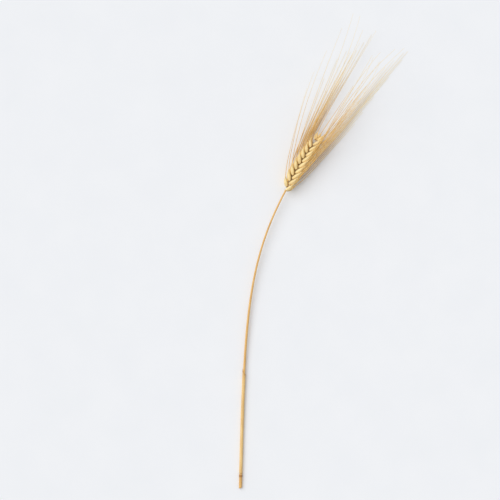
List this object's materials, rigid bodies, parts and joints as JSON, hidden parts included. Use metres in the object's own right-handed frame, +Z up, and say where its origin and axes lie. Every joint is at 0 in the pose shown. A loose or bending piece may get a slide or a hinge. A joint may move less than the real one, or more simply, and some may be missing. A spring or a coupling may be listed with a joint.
{
  "type": "wheat ear",
  "caption": "Dried bearded wheat ear on its cut, curved straw, lying flat, with two columns of spikelets and a fan of long awns.",
  "frame": {"origin": "middle of the stalk's plan, on the table it lies on", "axes": "+Y along the straw from its cut foot towards the ear, +X to the side the ear leans to, +Z up"},
  "size_m": [0.2027, 0.5615, 0.0505],
  "materials": {
    "straw": "satin",
    "sheath": "matte",
    "rachis": "matte",
    "glume": "satin",
    "husk": "satin"
  },
  "bodies": {
    "root": {"straw": "straw", "leaf_sheath": "sheath", "rachis": "rachis", "florets_01": "husk", "left_glume_01": "glume", "right_glume_01": "glume", "florets_02": "husk", "left_glume_02": "glume", "right_glume_02": "glume", "florets_03": "husk", "left_glume_03": "glume", "right_glume_03": "glume", "florets_04": "husk", "left_glume_04": "glume", "right_glume_04": "glume", "florets_05": "husk", "left_glume_05": "glume", "right_glume_05": "glume", "florets_06": "husk", "left_glume_06": "glume", "right_glume_06": "glume", "florets_07": "husk", "left_glume_07": "glume", "right_glume_07": "glume", "florets_08": "husk", "left_glume_08": "glume", "right_glume_08": "glume", "florets_09": "husk", "left_glume_09": "glume", "right_glume_09": "glume", "florets_10": "husk", "left_glume_10": "glume", "right_glume_10": "glume", "florets_11": "husk", "left_glume_11": "glume", "right_glume_11": "glume", "florets_12": "husk", "left_glume_12": "glume", "right_glume_12": "glume", "florets_13": "husk", "left_glume_13": "glume", "right_glume_13": "glume", "florets_14": "husk", "left_glume_14": "glume", "right_glume_14": "glume", "florets_15": "husk", "left_glume_15": "glume", "right_glume_15": "glume", "florets_16": "husk", "left_glume_16": "glume", "right_glume_16": "glume", "florets_17": "husk", "left_glume_17": "glume", "right_glume_17": "glume", "florets_18": "husk", "left_glume_18": "glume", "right_glume_18": "glume"}
  },
  "joints": []
}
